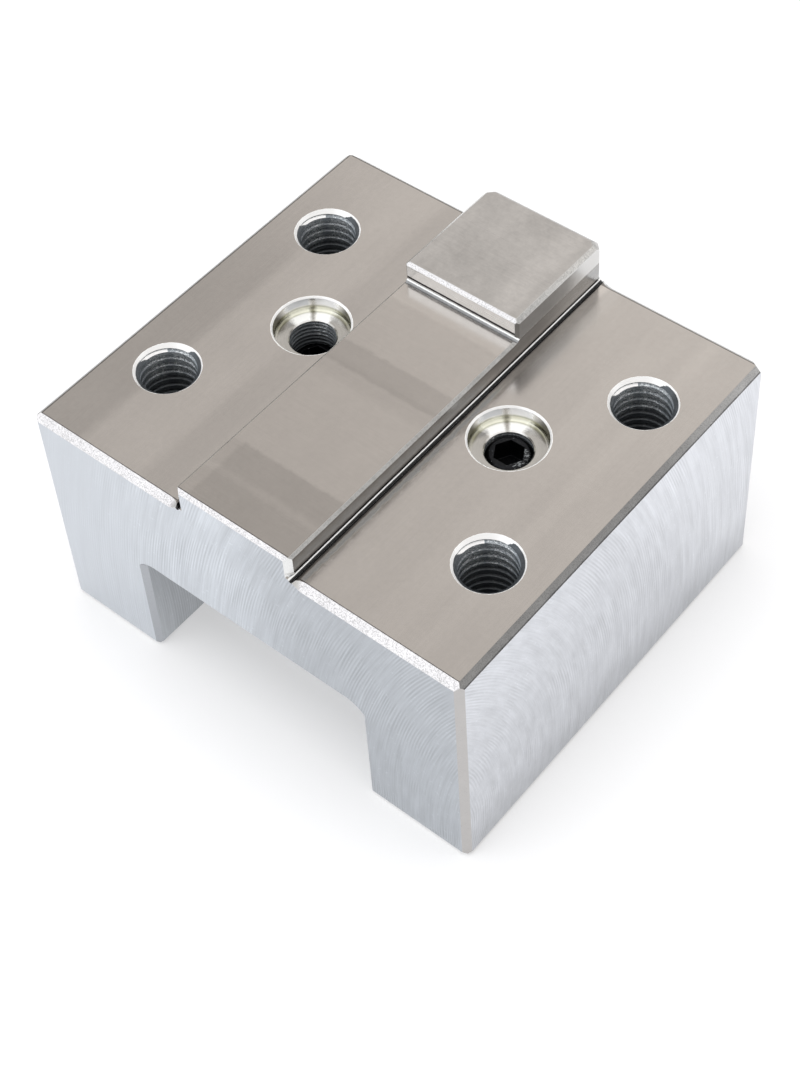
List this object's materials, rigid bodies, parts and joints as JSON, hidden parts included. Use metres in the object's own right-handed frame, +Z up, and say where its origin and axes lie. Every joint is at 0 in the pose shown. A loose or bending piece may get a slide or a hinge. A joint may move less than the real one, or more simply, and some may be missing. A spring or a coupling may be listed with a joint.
{
  "type": "turret tool seat block",
  "caption": "Steel seat block for a lathe turret, with a square tool channel below, a rib and key on top, tapped mounting holes and plugged coolant ports.",
  "frame": {"origin": "centre of the footprint, on the plane of the two feet", "axes": "+Z up from the feet to the lands, +Y along the channel towards the end with the key, +X across the channel"},
  "size_m": [0.094, 0.085, 0.0595],
  "materials": {
    "ground_steel": "ground and milled",
    "key_steel": "fine ground",
    "black_oxide": "black oxide"
  },
  "bodies": {
    "root": {"seat_block": "ground_steel", "locating_key": "key_steel", "key_screws": "black_oxide", "port_plug_left": "black_oxide", "port_plug_right": "black_oxide"}
  },
  "joints": []
}
